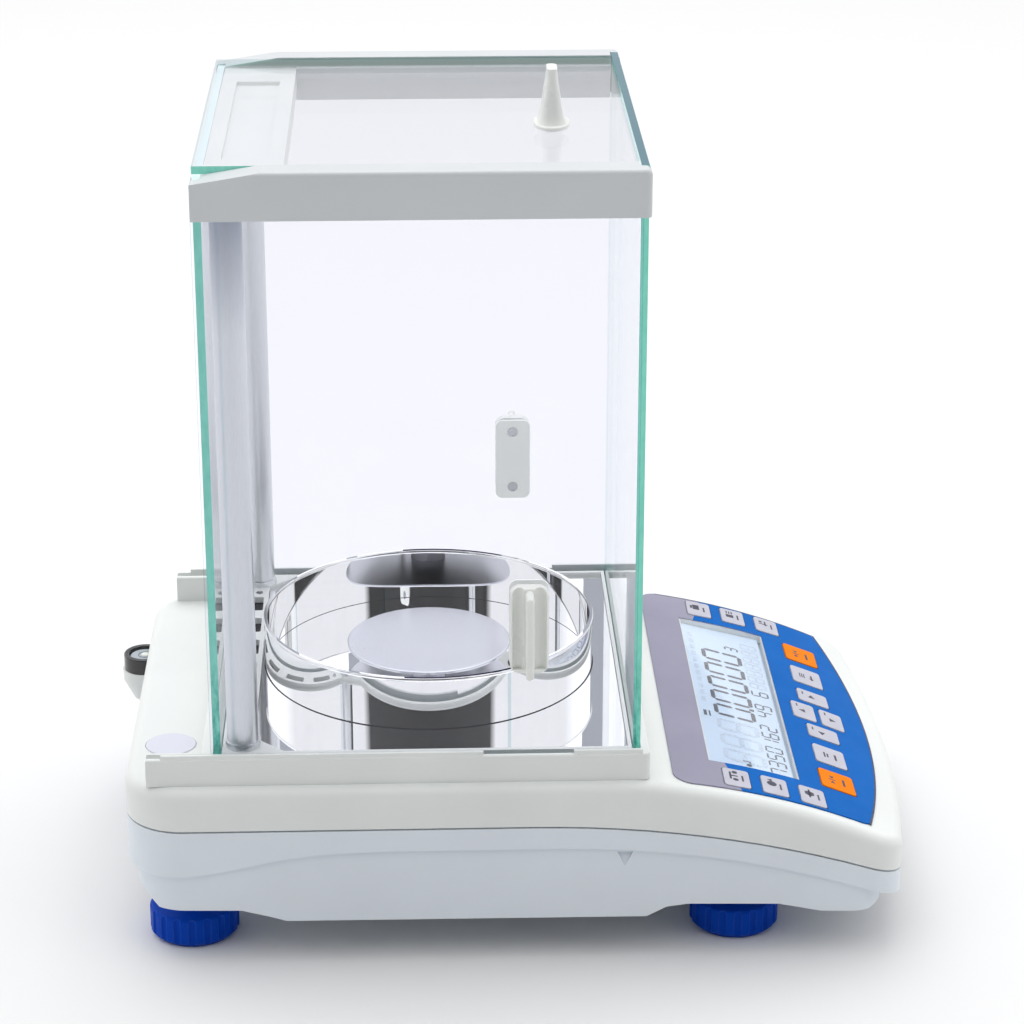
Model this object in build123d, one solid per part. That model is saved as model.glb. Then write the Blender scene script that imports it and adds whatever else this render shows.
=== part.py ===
from build123d import *
import math
import os

# Analytical balance with a glass draught shield. Millimetres.
# X runs across the balance, -Y is the operator's side with the keypad, +Y is the rear, Z is up
# from the bench. The origin is on the bench, at the middle of the balance's outline.

# ------------------------------------------------------------------ driving dimensions
OVERALL_DEPTH = 333.0
OVERALL_HEIGHT = 350.0
BASE_WIDTH = 206.0
BASE_DEPTH = 320.0

NOSE_Y = -OVERALL_DEPTH / 2
BACK_Y = NOSE_Y + BASE_DEPTH
NOSE_BOW = 9.0              # how far the front edge bows out in plan
REAR_CORNER_R = 24.0
FRONT_CORNER_R = 14.0
WALL = 3.0
SHADOW_GAP = 0.8            # dark line between the two halves of the base
TOP_EDGE_R = 5.0

DECK_Z = 77.5               # flat top of the base
PART_Z = 60.0               # joint between the halves of the base
PART_BEND_Y = -10.0
PART_RADIUS = 453.0
STEP_Z = 50.0               # line below which the lower half steps in
STEP_BEND_Y = -20.0
STEP_RADIUS = 388.0
STEP_SIDE = 1.2
STEP_REAR = 4.0
STEP_FRONT = 8.0
NOTCH_Y = -46.5
NOTCH_WIDE = 6.6
NOTCH_TALL = 6.6
NOTCH_DEEP = 1.8

PANEL_RADIUS = 302.2        # the keypad's slope is an arc about this centre
PANEL_CENTRE_Y = -25.4
PANEL_CENTRE_Z = -223.6

# Draught shield
PLINTH_HALF = 97.7
PLINTH_FRONT = -56.3
PLINTH_BACK = 122.0
SILL_BACK = 143.7
SILL_TOP = 89.0
SHIELD_TOP = 327.7
RAIL_BOTTOM = 309.4
RAIL_HALF = 98.9
RAIL_INNER = 86.5
RAIL_FRONT = -53.4
RAIL_BACK = 117.6
GLASS = 3.0
DOOR_X = 94.0               # middle of the side doors' glass
DOOR_FRONT = -50.5
DOOR_BACK = 117.9
DOOR_BOTTOM = 85.8
DOOR_TOP = 318.0
GROOVE = GLASS + 0.6
PANE_HALF = 91.9
FRONT_PANE_Y = -51.1
REAR_PANE_Y = 115.5
TOP_GLASS_Z = 324.2
TOP_GLASS_HALF = 86.2
TOP_GLASS_FRONT = -49.2
TOP_GLASS_BACK = 117.4
POST_X = 84.0
POST_Y = 105.5
POST_R = 6.3

# Weighing chamber
FLOOR_Z = 87.5
FLOOR_PLATE = 1.0
FLOOR_HALF = 90.0
FLOOR_FRONT = -47.7
FLOOR_BACK = 101.0
FLOOR_CORNER = 12.0          # corners cut off beside the posts
STRIP_HALF = 4.1
PAN_Y = 30.7
PAN_R = 34.4
PAN_TOP = 97.0
RING_R = 69.3
RING_TOP = 110.1
RING_WALL = 1.2
CARRIER_R = 4.0
CARRIER_TOP = 94.5

# Handles
HANDLE_Y = -8.0
HANDLE_Z = 143.6
HANDLE_TALL = 36.0
HANDLE_WIDE = 15.2
HANDLE_THICK = 5.2
HANDLE_FIN_OUT = 14.0
HANDLE_FIN_WIDE = 3.2
HANDLE_PLATE_TALL = 37.0
HANDLE_PLATE_WIDE = 15.4
HANDLE_SCREW = 13.0           # distance of each screw from the middle of the plate
KNOB_X = -28.0
KNOB_Y = -19.0

# Feet
FOOT_X = 72.0
FOOT_REAR_Y = 128.6
FOOT_FRONT_Y = -94.0
FOOT_R = 18.2
FOOT_THICK = 13.0
STUD_R = 4.0
STUD_TOP = 38.0
STUD_FIT = 0.06

# Level
LEVEL_X = 60.0
LEVEL_CUP_R = 10.0
LEVEL_Y = OVERALL_DEPTH / 2 - LEVEL_CUP_R
LEVEL_TOP = 66.0
LEVEL_BOTTOM = 45.0

# Keypad and display
OVERLAY_THICK = 0.5
OVERLAY_HALF = 97.0
OVERLAY_REAR = -66.0
OVERLAY_CORNER_X = 94.5
OVERLAY_CORNER_Y = -146.0
OVERLAY_FRONT = -157.5
DISPLAY_HALF = 73.0
DISPLAY_REAR = -82.0
DISPLAY_FRONT = -119.5
KEY_GAP = 0.3
KEY_PROUD = 0.35
KEY_THICK = 1.2
KEY_TRAVEL = 0.4
KEY_STEM_R = 1.5
KEY_STEM = 5.0

# size of a key: width across, depth along the slope
SIDE_KEY = (15.4, 11.0)
TARE_KEY = (16.8, 15.4)
WIDE_KEY = (17.0, 14.2)
ARROW_ACROSS = (12.4, 14.2)
ARROW_ALONG = (16.0, 10.6)
SIDE_KEY_X = 86.0
SIDE_KEY_YS = {"rear": -92.0, "middle": -107.5, "front": -123.0}
TARE_X = 63.5
WIDE_X = 40.0
ARROW_X = 18.0
FRONT_ROW_Y = -136.0
ARROW_ROW_YS = {"up": -129.8, "down": -142.0}


def key_places():
    """Middle X, middle Y, width and depth of every key."""
    places = {}
    for side, sign in (("left", -1), ("right", 1)):
        for row, y in SIDE_KEY_YS.items():
            places[f"key_{side}_{row}"] = (sign * SIDE_KEY_X, y, *SIDE_KEY)
        places[f"key_tare_{side}"] = (sign * TARE_X, FRONT_ROW_Y, *TARE_KEY)
        places[f"key_wide_{side}"] = (sign * WIDE_X, FRONT_ROW_Y, *WIDE_KEY)
        places[f"key_arrow_{side}"] = (sign * ARROW_X, FRONT_ROW_Y, *ARROW_ACROSS)
    for row, y in ARROW_ROW_YS.items():
        places[f"key_arrow_{row}"] = (0.0, y, *ARROW_ALONG)
    return places


KEYS = key_places()

SCREW_X = 91.0
SCREW_YS = (-30.0, 66.0)
CAP_X = -59.0
CAP_Y = 136.5
CAP_R = 10.4

# Inside the base
CHASSIS_Z = 30.0
CHASSIS_TOP = 36.0
CHASSIS_HALF = 82.0
BOARD = 1.6


# ------------------------------------------------------------------ helpers
def block(x, y, z):
    """Box between two limits on each axis."""
    size = (x[1] - x[0], y[1] - y[0], z[1] - z[0])
    middle = ((x[0] + x[1]) / 2, (y[0] + y[1]) / 2, (z[0] + z[1]) / 2)
    return Pos(*middle) * Box(*size)


def rod(x, y, z_from, z_to, radius, top_radius=None):
    """Upright cylinder, or a cone where a top radius is given."""
    height = z_to - z_from
    middle = Pos(x, y, (z_from + z_to) / 2)
    if top_radius is None:
        return middle * Cylinder(radius, height)
    return middle * Cone(radius, top_radius, height)


def both_sides(part):
    """A part and its mirror image across the balance."""
    return part + mirror(part, Plane.YZ)


def plan_prism(side=0.0, rear=0.0, front=0.0):
    """Tall block with the base's plan outline, pulled in by the given amounts."""
    half = BASE_WIDTH / 2 - side
    back = BACK_Y - rear
    nose = NOSE_Y + front
    shoulder = nose + NOSE_BOW
    sides = Polyline((-half, shoulder), (-half, back), (half, back), (half, shoulder))
    bow = ThreePointArc((half, shoulder), (0, nose), (-half, shoulder))
    face = make_face([*sides.edges(), bow])
    face = fillet(face.vertices().group_by(Axis.Y)[-1], REAR_CORNER_R - max(side, rear))
    face = fillet(face.vertices().group_by(Axis.Y)[0], FRONT_CORNER_R - min(side, front))
    return extrude(face, amount=DECK_Z + 20)


def side_prism(edges):
    """Outline in the YZ plane run right across the base."""
    return extrude(Plane.YZ * make_face(edges), amount=BASE_WIDTH / 2 + 5, both=True)


def arc_between(centre_y, centre_z, radius, y_from, y_to):
    """Upper arc of a circle in the YZ plane, between two places along Y."""
    def point(y):
        return (y, centre_z + math.sqrt(radius ** 2 - (y - centre_y) ** 2))
    return ThreePointArc(point(y_from), point((y_from + y_to) / 2), point(y_to))


def polyline_edges(*points):
    return list(Polyline(*points).edges())


def slope_z(y):
    return PANEL_CENTRE_Z + math.sqrt(PANEL_RADIUS ** 2 - (y - PANEL_CENTRE_Y) ** 2)


def slope_plane(x, y, depth=0.0):
    """Plane on the keypad's slope: its z_dir is the outward normal, depth goes into the base."""
    lean = (y - PANEL_CENTRE_Y) / PANEL_RADIUS
    normal = Vector(0, lean, math.sqrt(1 - lean ** 2))
    origin = Vector(x, y, slope_z(y)) - normal * depth
    return Plane(origin=origin, x_dir=(1, 0, 0), z_dir=normal)


def slope_layer(below, above):
    """Curved layer that follows the slope, between two distances from its surface."""
    y_from = NOSE_Y
    y_to = OVERLAY_REAR + 10
    top = arc_between(PANEL_CENTRE_Y, PANEL_CENTRE_Z, PANEL_RADIUS + above, y_from, y_to)
    bottom = arc_between(PANEL_CENTRE_Y, PANEL_CENTRE_Z, PANEL_RADIUS - below, y_from, y_to)
    ends = [Line(top @ 0, bottom @ 0), Line(top @ 1, bottom @ 1)]
    return side_prism([top, bottom, *ends])


def slope_box(x, y, width, depth, below, above, corner=1.6):
    """Block with rounded corners, square to the slope at one place."""
    face = slope_plane(x, y, below) * RectangleRounded(width, depth, corner)
    return extrude(face, amount=below + above)


# ------------------------------------------------------------------ base
CREASE_Y = PANEL_CENTRE_Y - math.sqrt(PANEL_RADIUS ** 2 - (DECK_Z - PANEL_CENTRE_Z) ** 2)
BEYOND_BACK = BACK_Y + 5
BEYOND_NOSE = NOSE_Y - 3


def part_line(drop=0.0):
    """The joint between the halves: level, then an arc that falls to the nose."""
    z = PART_Z - drop
    level = Line((BEYOND_BACK, z), (PART_BEND_Y, z))
    fall = arc_between(PART_BEND_Y, z - PART_RADIUS, PART_RADIUS, PART_BEND_Y, BEYOND_NOSE)
    return [level, fall]


def step_line():
    """Falls towards the rear corner, level in the middle, then falls to the nose."""
    tail = Line((BEYOND_BACK, STEP_Z - 10.5), (BACK_Y - 16, STEP_Z - 10.5))
    rise = Spline((BACK_Y - 16, STEP_Z - 10.5), (BACK_Y - 64, STEP_Z - 3),
                  (BACK_Y - 115, STEP_Z), tangents=[(-1, 0), (-1, 0)])
    level = Line((BACK_Y - 115, STEP_Z), (STEP_BEND_Y, STEP_Z))
    fall = arc_between(STEP_BEND_Y, STEP_Z - STEP_RADIUS, STEP_RADIUS, STEP_BEND_Y, BEYOND_NOSE)
    return [tail, rise, level, fall]


def close_over(edges, lid):
    """Closes a run of edges with a straight-sided path over the lid points."""
    start = edges[0] @ 0
    end = edges[-1] @ 1
    return [*edges, *polyline_edges((end.X, end.Y), *lid, (start.X, start.Y))]


UNDERSIDE = [
    (NOSE_Y + 2.5, 28.8), (NOSE_Y + 8.5, 27.6), (NOSE_Y + 14.5, 21.3), (NOSE_Y + 20.5, 19.1),
    (NOSE_Y + 40.5, 19.5), (NOSE_Y + 57.5, 23.0), (NOSE_Y + 94.0, 23.7), (NOSE_Y + 103.0, 22.5),
    (NOSE_Y + 111.0, 18.3), (BACK_Y - 64.0, 18.8), (BACK_Y - 57.0, 21.0), (BACK_Y - 46.0, 23.8),
    (BACK_Y - 13.0, 24.4), (BACK_Y - 3.0, 33.0),
]


def level_pocket():
    """Room in the rear wall for the level's cup and for the tongue that holds it."""
    pocket = rod(LEVEL_X, LEVEL_Y, LEVEL_BOTTOM - 2, LEVEL_TOP + 5, LEVEL_CUP_R + 0.6)
    tongue_z = (LEVEL_BOTTOM + 4.8, LEVEL_BOTTOM + 9.2)
    slot = block((LEVEL_X - 6.2, LEVEL_X + 6.2), (BACK_Y - 9, LEVEL_Y), tongue_z)
    return pocket + slot


def upper_shell():
    """Upper half of the base: deck, slope and skirt, hollow and open below."""
    slope = arc_between(PANEL_CENTRE_Y, PANEL_CENTRE_Z, PANEL_RADIUS, CREASE_Y, BEYOND_NOSE)
    deck = Line((BEYOND_BACK, DECK_Z), (CREASE_Y, DECK_Z))
    line = part_line()
    front = Line(slope @ 1, line[-1] @ 1)
    back = Line(line[0] @ 0, deck @ 0)
    outer = side_prism([deck, slope, front, *line, back]) & plan_prism()
    rim = [e for e in outer.edges() if is_top_rim(e)]
    shell = fillet(rim, TOP_EDGE_R)
    shell -= shell_cavity()
    for x in (-SCREW_X, SCREW_X):
        for y in SCREW_YS:
            shell += rod(x, y, STEP_Z - 7, DECK_Z - WALL, 4.5)
            shell -= rod(x, y, STEP_Z - 8, STEP_Z + 6, 1.5)
    shell -= block((-70, 70), (PAN_Y - 60, PAN_Y + 62), (DECK_Z - 10, DECK_Z + 1))
    shell -= display_opening()
    for x, y, width, depth in KEYS.values():
        pocket = KEY_THICK - KEY_PROUD - OVERLAY_THICK + KEY_TRAVEL + 0.3
        shell -= slope_box(x, y, width + 2 * KEY_GAP, depth + 2 * KEY_GAP, pocket, 3)
        shell -= slope_box(x, y, 2 * KEY_STEM_R + 1, 2 * KEY_STEM_R + 1, WALL + 3, 3, 1.9)
    shell -= rod(CAP_X, CAP_Y, DECK_Z - 1.5, DECK_Z + 1, CAP_R)
    return shell - level_pocket()


def is_top_rim(edge):
    """True for the outer edges of the deck and slope, not for the crease between them."""
    middle = edge @ 0.5
    crease = abs((edge @ 0).Y - CREASE_Y) < 0.1 and abs((edge @ 1).Y - CREASE_Y) < 0.1
    surface = DECK_Z if middle.Y > CREASE_Y else slope_z(middle.Y)
    return abs(middle.Z - surface) < 0.2 and not crease


def shell_cavity():
    roof = arc_between(PANEL_CENTRE_Y, PANEL_CENTRE_Z, PANEL_RADIUS - WALL, CREASE_Y, BEYOND_NOSE)
    lid = [(BEYOND_NOSE, 0), (BEYOND_BACK, 0), (BEYOND_BACK, (roof @ 0).Y)]
    return side_prism(close_over([roof], lid)) & plan_prism(WALL, WALL, WALL)


def display_opening():
    inset = 0.6
    y_span = (DISPLAY_FRONT + inset, DISPLAY_REAR - inset)
    return block((-DISPLAY_HALF + inset, DISPLAY_HALF - inset), y_span, (40, 90))


def lower_shell():
    """Lower half: a band flush with the upper half, and a tub that steps in below it."""
    line = part_line(SHADOW_GAP)
    start = line[0] @ 0
    end = line[-1] @ 1
    under = polyline_edges((end.X, end.Y), *UNDERSIDE, (BEYOND_BACK, 36), (start.X, start.Y))
    tub = side_prism([*line, *under]) & plan_prism(STEP_SIDE, STEP_REAR, STEP_FRONT)
    step = step_line()
    joins = [Line(line[0] @ 0, step[0] @ 0), Line(line[-1] @ 1, step[-1] @ 1)]
    band = side_prism([*line, *step, *joins]) & plan_prism()
    shell = tub + band
    inner = [(y, z + WALL) for y, z in UNDERSIDE]
    floor = polyline_edges((BEYOND_NOSE, 32), *inner, (BEYOND_BACK, 39), (BEYOND_BACK, 90),
                           (BEYOND_NOSE, 90), (BEYOND_NOSE, 32))
    inset = STEP_SIDE + WALL
    shell -= side_prism(floor) & plan_prism(inset, STEP_REAR + WALL, STEP_FRONT + WALL)
    shell += joint_tongue()
    for x in (-SCREW_X, SCREW_X):
        for y in SCREW_YS:
            shell += rod(x, y, 19, STEP_Z - 7, 5.2)
            shell -= rod(x, y, 15, 24, 3.6)
            shell -= rod(x, y, 15, STEP_Z, 1.7)
    for x, y in feet_places():
        shell -= rod(x, y, 10, CHASSIS_Z, STUD_R + 1.5)
    shell -= block((-72, 32), (BACK_Y - 12, BACK_Y + 5), (32, 54))
    for side in (-1, 1):
        shell -= pry_notch(side)
    return shell - level_pocket()


def joint_tongue():
    """Lip inside the joint that lines the two halves up."""
    low = part_line(4.0)
    high = part_line(-2.5)
    joins = [Line(low[0] @ 0, high[0] @ 0), Line(low[-1] @ 1, high[-1] @ 1)]
    strip = side_prism([*low, *high, *joins])
    inset = WALL + 0.1
    inner = STEP_SIDE + WALL + 0.6
    return strip & (plan_prism(inset, inset, inset) - plan_prism(inner, inner, inner))


def pry_notch(side):
    """Small triangular notch under the step in the tub's side wall, deepest at its top."""
    face_x = side * (BASE_WIDTH / 2 - STEP_SIDE)
    outside = face_x + side
    top = STEP_Z - 2.2
    foot = top - NOTCH_TALL
    half = NOTCH_WIDE / 2
    outline = Polyline((NOTCH_Y - half, top), (NOTCH_Y + half, top), (NOTCH_Y, foot), close=True)
    triangle = extrude(Plane.YZ.offset(face_x) * make_face(outline), amount=4, both=True)
    inside = face_x - side * NOTCH_DEEP
    run_out = Polyline((outside, foot), (face_x, foot), (inside, top), (outside, top), close=True)
    return triangle & extrude(Plane.XZ.offset(-NOTCH_Y) * make_face(run_out), amount=NOTCH_WIDE, both=True)


def feet_places():
    return [(x, y) for y in (FOOT_FRONT_Y, FOOT_REAR_Y) for x in (-FOOT_X, FOOT_X)]


def chassis_plate():
    """Cast plate that carries the weighing cell and the feet."""
    plate = block((-CHASSIS_HALF, CHASSIS_HALF), (-106, 140), (CHASSIS_Z, CHASSIS_TOP))
    plate = fillet(plate.edges().filter_by(Axis.Z), 12)
    plate -= block((-60, 60), (-70, -14), (CHASSIS_Z - 1, CHASSIS_TOP + 1))
    for x, y in feet_places():
        plate += rod(x, y, CHASSIS_Z - 2, CHASSIS_TOP + 4, 8)
        plate -= rod(x, y, CHASSIS_Z - 4, STUD_TOP + 4, STUD_R + STUD_FIT)
    return plate


def shell_screws():
    screws = []
    for x in (-SCREW_X, SCREW_X):
        for y in SCREW_YS:
            head = rod(x, y, 21.0, 24.0, 3.3)
            drive = Pos(x, y, 21.0) * extrude(RegularPolygon(1.5, 6), amount=1.6)
            screws.append(head - drive + rod(x, y, 24.0, STEP_Z + 5, 1.5))
    return Compound(children=screws)


def cover_cap():
    """Flush round cap in the deck behind the chamber."""
    cap = rod(CAP_X, CAP_Y, DECK_Z - 1.5, DECK_Z + 0.4, CAP_R - 0.2)
    return chamfer(cap.edges().group_by(Axis.Z)[-1], 0.3)


# ------------------------------------------------------------------ feet
def foot(x, y):
    """Ribbed hand wheel on a threaded stud, with a slightly domed contact pad."""
    wheel = rod(x, y, 0, FOOT_THICK, FOOT_R)
    wheel = chamfer(wheel.edges().group_by(Axis.Z)[0], 2.2)
    wheel = fillet(wheel.edges().group_by(Axis.Z)[-1], 1.5)
    flute = rod(FOOT_R + 1.2, 0, -1, FOOT_THICK + 1, 2.0)
    for turn in range(18):
        wheel -= Pos(x, y, 0) * Rot(0, 0, turn * 20) * flute
    stud = rod(x, y, FOOT_THICK, STUD_TOP, STUD_R)
    collar = rod(x, y, FOOT_THICK, FOOT_THICK + 4, 7, 5.5)
    return wheel + stud + collar


# ------------------------------------------------------------------ inside the base
def load_cell():
    """Monolithic weighing cell: a block sawn into parallel guides and a lever."""
    cell = block((-26, 26), (12, 100), (CHASSIS_TOP, 66))
    for z in (42, 59):
        cell -= block((-30, 30), (24, 88), (z, z + 2))
    cell -= block((-30, 30), (30, 34), (46, 57))
    cell -= block((-30, 30), (78, 82), (46, 57))
    for y in (26, 86):
        for z in (43, 60):
            cell -= Pos(0, y, z) * Rot(0, 90, 0) * Cylinder(2.6, 70)
    return cell


def magnet_unit():
    """Pot magnet with the compensation coil's cup above it."""
    pot = rod(0, 120, CHASSIS_TOP, 56, 17)
    pot -= rod(0, 120, 44, 57, 13) - rod(0, 120, 43, 57, 9)
    return pot + rod(0, 120, 56, 60, 9, 6)


def pan_carrier():
    """Stem that rises from the cell to the pan."""
    stem = rod(0, PAN_Y, 66, 70, 12) + rod(0, PAN_Y, 70, CARRIER_TOP - 6, CARRIER_R)
    return stem + rod(0, PAN_Y, CARRIER_TOP - 6, CARRIER_TOP, CARRIER_R, CARRIER_R - 1)


def main_board():
    board = block((-74, 74), (-84, 4), (44, 44 + BOARD))
    for x, y, w, d, h in ((-40, -30, 20, 20, 2.5), (10, -45, 14, 24, 3), (45, -15, 28, 18, 9),
                          (-55, -65, 24, 12, 6), (20, -10, 10, 10, 4)):
        board += block((x - w / 2, x + w / 2), (y - d / 2, y + d / 2), (44 + BOARD, 44 + BOARD + h))
    for x in (-66, 66):
        for y in (-76, -6):
            board += rod(x, y, CHASSIS_TOP, 44, 3)
    return board


def display_board():
    """Board behind the panel, with one push switch under each key's stem."""
    middle_y = (OVERLAY_REAR + OVERLAY_FRONT) / 2
    depth = 13.0
    board = slope_box(0, middle_y, 182, 74, depth + BOARD, -depth, 3)
    top = slope_plane(0, middle_y, depth)
    for x, y, _, _ in KEYS.values():
        tip = slope_plane(x, y, KEY_STEM + KEY_TRAVEL + 0.4).origin
        height = (tip - top.origin).dot(top.z_dir)
        foot_point = tip - top.z_dir * height
        seat = Plane(origin=foot_point, x_dir=(1, 0, 0), z_dir=top.z_dir)
        board += extrude(seat * Rectangle(6, 6), amount=max(height - 1.2, 1.0))
    return board


def lcd_module():
    """Display glass in the panel's opening, with its wider frame clamped below the shell."""
    middle_y = (DISPLAY_REAR + DISPLAY_FRONT) / 2
    length = DISPLAY_REAR - DISPLAY_FRONT
    glass = slope_box(0, middle_y, 2 * DISPLAY_HALF - 2.0, length - 1.9, 5.2, -2.2, 0.6)
    frame = slope_box(0, middle_y, 2 * DISPLAY_HALF + 4, length + 5.5, 8.6, -5.2, 1.0)
    return glass + frame


def display_window():
    """Clear curved window set in the overlay's opening."""
    lens = block((-DISPLAY_HALF + 0.1, DISPLAY_HALF - 0.1), (DISPLAY_FRONT + 0.1, DISPLAY_REAR - 0.1),
                 (40, 90))
    return lens & slope_layer(0, OVERLAY_THICK)


def overlay_prism():
    corner = (OVERLAY_CORNER_X, OVERLAY_CORNER_Y)
    path = Polyline((-corner[0], corner[1]), (-OVERLAY_HALF, OVERLAY_REAR),
                    (OVERLAY_HALF, OVERLAY_REAR), corner)
    bow = ThreePointArc(corner, (0, OVERLAY_FRONT), (-corner[0], corner[1]))
    face = make_face([*path.edges(), bow])
    face = fillet(face.vertices().group_by(Axis.Y)[-1], 8)
    face = fillet(face.vertices().group_by(Axis.Y)[0], 5)
    return extrude(face, amount=DECK_Z + 10)


def keypad_overlay():
    """Thin printed film on the slope, cut out for the display and the keys."""
    film = slope_layer(0, OVERLAY_THICK) & overlay_prism()
    film -= block((-DISPLAY_HALF, DISPLAY_HALF), (DISPLAY_FRONT, DISPLAY_REAR), (40, 90))
    for x, y, width, depth in KEYS.values():
        film -= slope_box(x, y, width + 2 * KEY_GAP, depth + 2 * KEY_GAP, 2, 3)
    return film


def key(x, y, width, depth):
    """Key cap with a stem that reaches its switch."""
    top = OVERLAY_THICK + KEY_PROUD
    cap = slope_box(x, y, width, depth, KEY_THICK - top, top)
    crown = cap.faces().sort_by(lambda f: f.center().Z + f.center().Y * 0.2)[-1]
    cap = fillet(crown.edges(), 0.3)
    stem = slope_plane(x, y, KEY_STEM) * Pos(0, 0, KEY_STEM / 2 - 0.2)
    return cap + stem * Cylinder(KEY_STEM_R, KEY_STEM)


# ------------------------------------------------------------------ rear of the base
def rear_connector_plate():
    plate = block((-71.8, 31.8), (BACK_Y - STEP_REAR - 4, BACK_Y - STEP_REAR - 2), (32.2, 53.8))
    plate = plate + block((-69, 29), (BACK_Y - STEP_REAR - 9, BACK_Y - STEP_REAR - 4), (34, 52))
    plate -= Pos(-58, BACK_Y - 8, 43) * Rot(90, 0, 0) * Cylinder(5.8, 30)
    for x in (-30, 3):
        plate -= block((x - 9.2, x + 9.2), (BACK_Y - 20, BACK_Y), (37.8, 48.2))
    plate -= block((16.8, 25.2), (BACK_Y - 20, BACK_Y), (36.4, 49.6))
    return plate


def power_socket():
    """Round low-voltage socket with its centre pin."""
    axis = Pos(-58, BACK_Y - 9, 43) * Rot(90, 0, 0)
    body = axis * (Cylinder(5.7, 12) - Pos(0, 0, -3) * Cylinder(3.2, 9))
    pin = axis * Cylinder(1.0, 8)
    return body + pin


def data_ports():
    """Two D-shaped serial sockets and a stacked port, one solid each."""
    ports = []
    for x in (-30, 3):
        shell = block((x - 9, x + 9), (BACK_Y - 16, BACK_Y - 3), (38, 48))
        core = block((x - 8, x + 8), (BACK_Y - 6, BACK_Y), (39, 47))
        tongue = block((x - 6.5, x + 6.5), (BACK_Y - 8, BACK_Y - 3.6), (41, 45))
        ports.append(shell - core + tongue)
    stack = block((17, 25), (BACK_Y - 16, BACK_Y - 4), (36.6, 49.4))
    for z in (38, 44):
        stack -= block((18, 24), (BACK_Y - 9, BACK_Y), (z, z + 4.4))
        stack += block((18, 24), (BACK_Y - 10, BACK_Y - 5), (z + 1.6, z + 2.8))
    return Compound(children=[*ports, stack])


def level_bracket():
    """Cup for the level vial, on a tongue that goes through the rear wall."""
    cup = rod(LEVEL_X, LEVEL_Y, LEVEL_BOTTOM + 9, LEVEL_TOP - 7, LEVEL_CUP_R)
    cup += rod(LEVEL_X, LEVEL_Y, LEVEL_BOTTOM, LEVEL_BOTTOM + 9, LEVEL_CUP_R - 4.5, LEVEL_CUP_R)
    cup -= rod(LEVEL_X, LEVEL_Y, LEVEL_TOP - 12, LEVEL_TOP, LEVEL_CUP_R - 2)
    inner_wall = BACK_Y - STEP_REAR - WALL
    tongue_y = (inner_wall - 2, LEVEL_Y - LEVEL_CUP_R + 3)
    tongue = block((LEVEL_X - 6, LEVEL_X + 6), tongue_y, (LEVEL_BOTTOM + 5, LEVEL_BOTTOM + 9))
    hook_z = (LEVEL_BOTTOM + 2, LEVEL_BOTTOM + 12)
    hook = block((LEVEL_X - 9, LEVEL_X + 9), (inner_wall - 2, inner_wall), hook_z)
    return cup + tongue + hook


def level_vial():
    vial = rod(LEVEL_X, LEVEL_Y, LEVEL_TOP - 12, LEVEL_TOP - 1.2, LEVEL_CUP_R - 3.2)
    return fillet(vial.edges().group_by(Axis.Z)[-1], 0.8)


def level_cap_ring():
    ring = rod(LEVEL_X, LEVEL_Y, LEVEL_TOP - 7, LEVEL_TOP, LEVEL_CUP_R - 0.6)
    ring -= rod(LEVEL_X, LEVEL_Y, LEVEL_TOP - 8, LEVEL_TOP + 1, LEVEL_CUP_R - 3.0)
    return fillet(ring.edges().group_by(Axis.Z)[-1], 0.7)


# ------------------------------------------------------------------ draught shield
def door_groove(z_from, z_to, back):
    """Grooves for the two side doors, closed at the front and open at the rear."""
    groove = block((-DOOR_X - GROOVE / 2, -DOOR_X + GROOVE / 2), (DOOR_FRONT - 0.4, back), (z_from, z_to))
    return both_sides(groove)


def pane_groove(y, z_from, z_to):
    return block((-PANE_HALF - 0.3, PANE_HALF + 0.3), (y - GROOVE / 2, y + GROOVE / 2), (z_from, z_to))


def floor_outline(grow=0.0):
    """Plan of the floor plate: square in front, corners cut off beside the posts."""
    half = FLOOR_HALF + grow
    cut = FLOOR_CORNER
    back = FLOOR_BACK + grow
    front = FLOOR_FRONT - grow
    return make_face(Polyline((-half, front), (half, front), (half, back - cut), (half - cut, back),
                              (-half + cut, back), (-half, back - cut), close=True))


def chamber_plinth():
    """Raised tray under the shield, with a sill along each side door."""
    span = (-PLINTH_HALF, PLINTH_HALF)
    tray = block(span, (PLINTH_FRONT, PLINTH_BACK), (DECK_Z, SILL_TOP))
    sill = block((-PLINTH_HALF, -FLOOR_HALF - 0.2), (PLINTH_BACK, SILL_BACK), (DECK_Z, SILL_TOP))
    tray += both_sides(sill)
    tray = fillet(tray.edges().filter_by(Axis.Z).group_by(Axis.Y)[0], 3)
    tray = fillet(tray.edges().group_by(Axis.Z)[-1], 0.9)
    tray -= block((-88, 88), (PLINTH_FRONT + 8, PLINTH_BACK - 4), (DECK_Z - 1, FLOOR_Z - 4))
    tray -= Pos(0, 0, FLOOR_Z - FLOOR_PLATE) * extrude(floor_outline(0.2), amount=10)
    tray -= rod(0, PAN_Y, DECK_Z, SILL_TOP + 1, 16)
    strip_half = STRIP_HALF + 0.2
    tray -= block((-74.2, 74.2), (POST_Y - strip_half, POST_Y + strip_half), (SILL_TOP - 2.5, SILL_TOP + 1))
    tray -= block((-69, 69), (POST_Y - 2.8, POST_Y + 2.8), (DECK_Z, SILL_TOP + 1))
    tray -= door_groove(DOOR_BOTTOM - 0.2, SILL_TOP + 1, SILL_BACK + 1)
    for y in (FRONT_PANE_Y, REAR_PANE_Y):
        tray -= pane_groove(y, DOOR_BOTTOM - 0.2, SILL_TOP + 1)
    ridge_x = (-PLINTH_HALF + 0.4, -DOOR_X - GROOVE / 2)
    for y_span in ((PLINTH_FRONT + 3, HANDLE_Y - 18), (HANDLE_Y + 18, SILL_BACK - 6)):
        tray += both_sides(block(ridge_x, y_span, (SILL_TOP - 1, SILL_TOP + 1.6)))
    return tray


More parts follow.
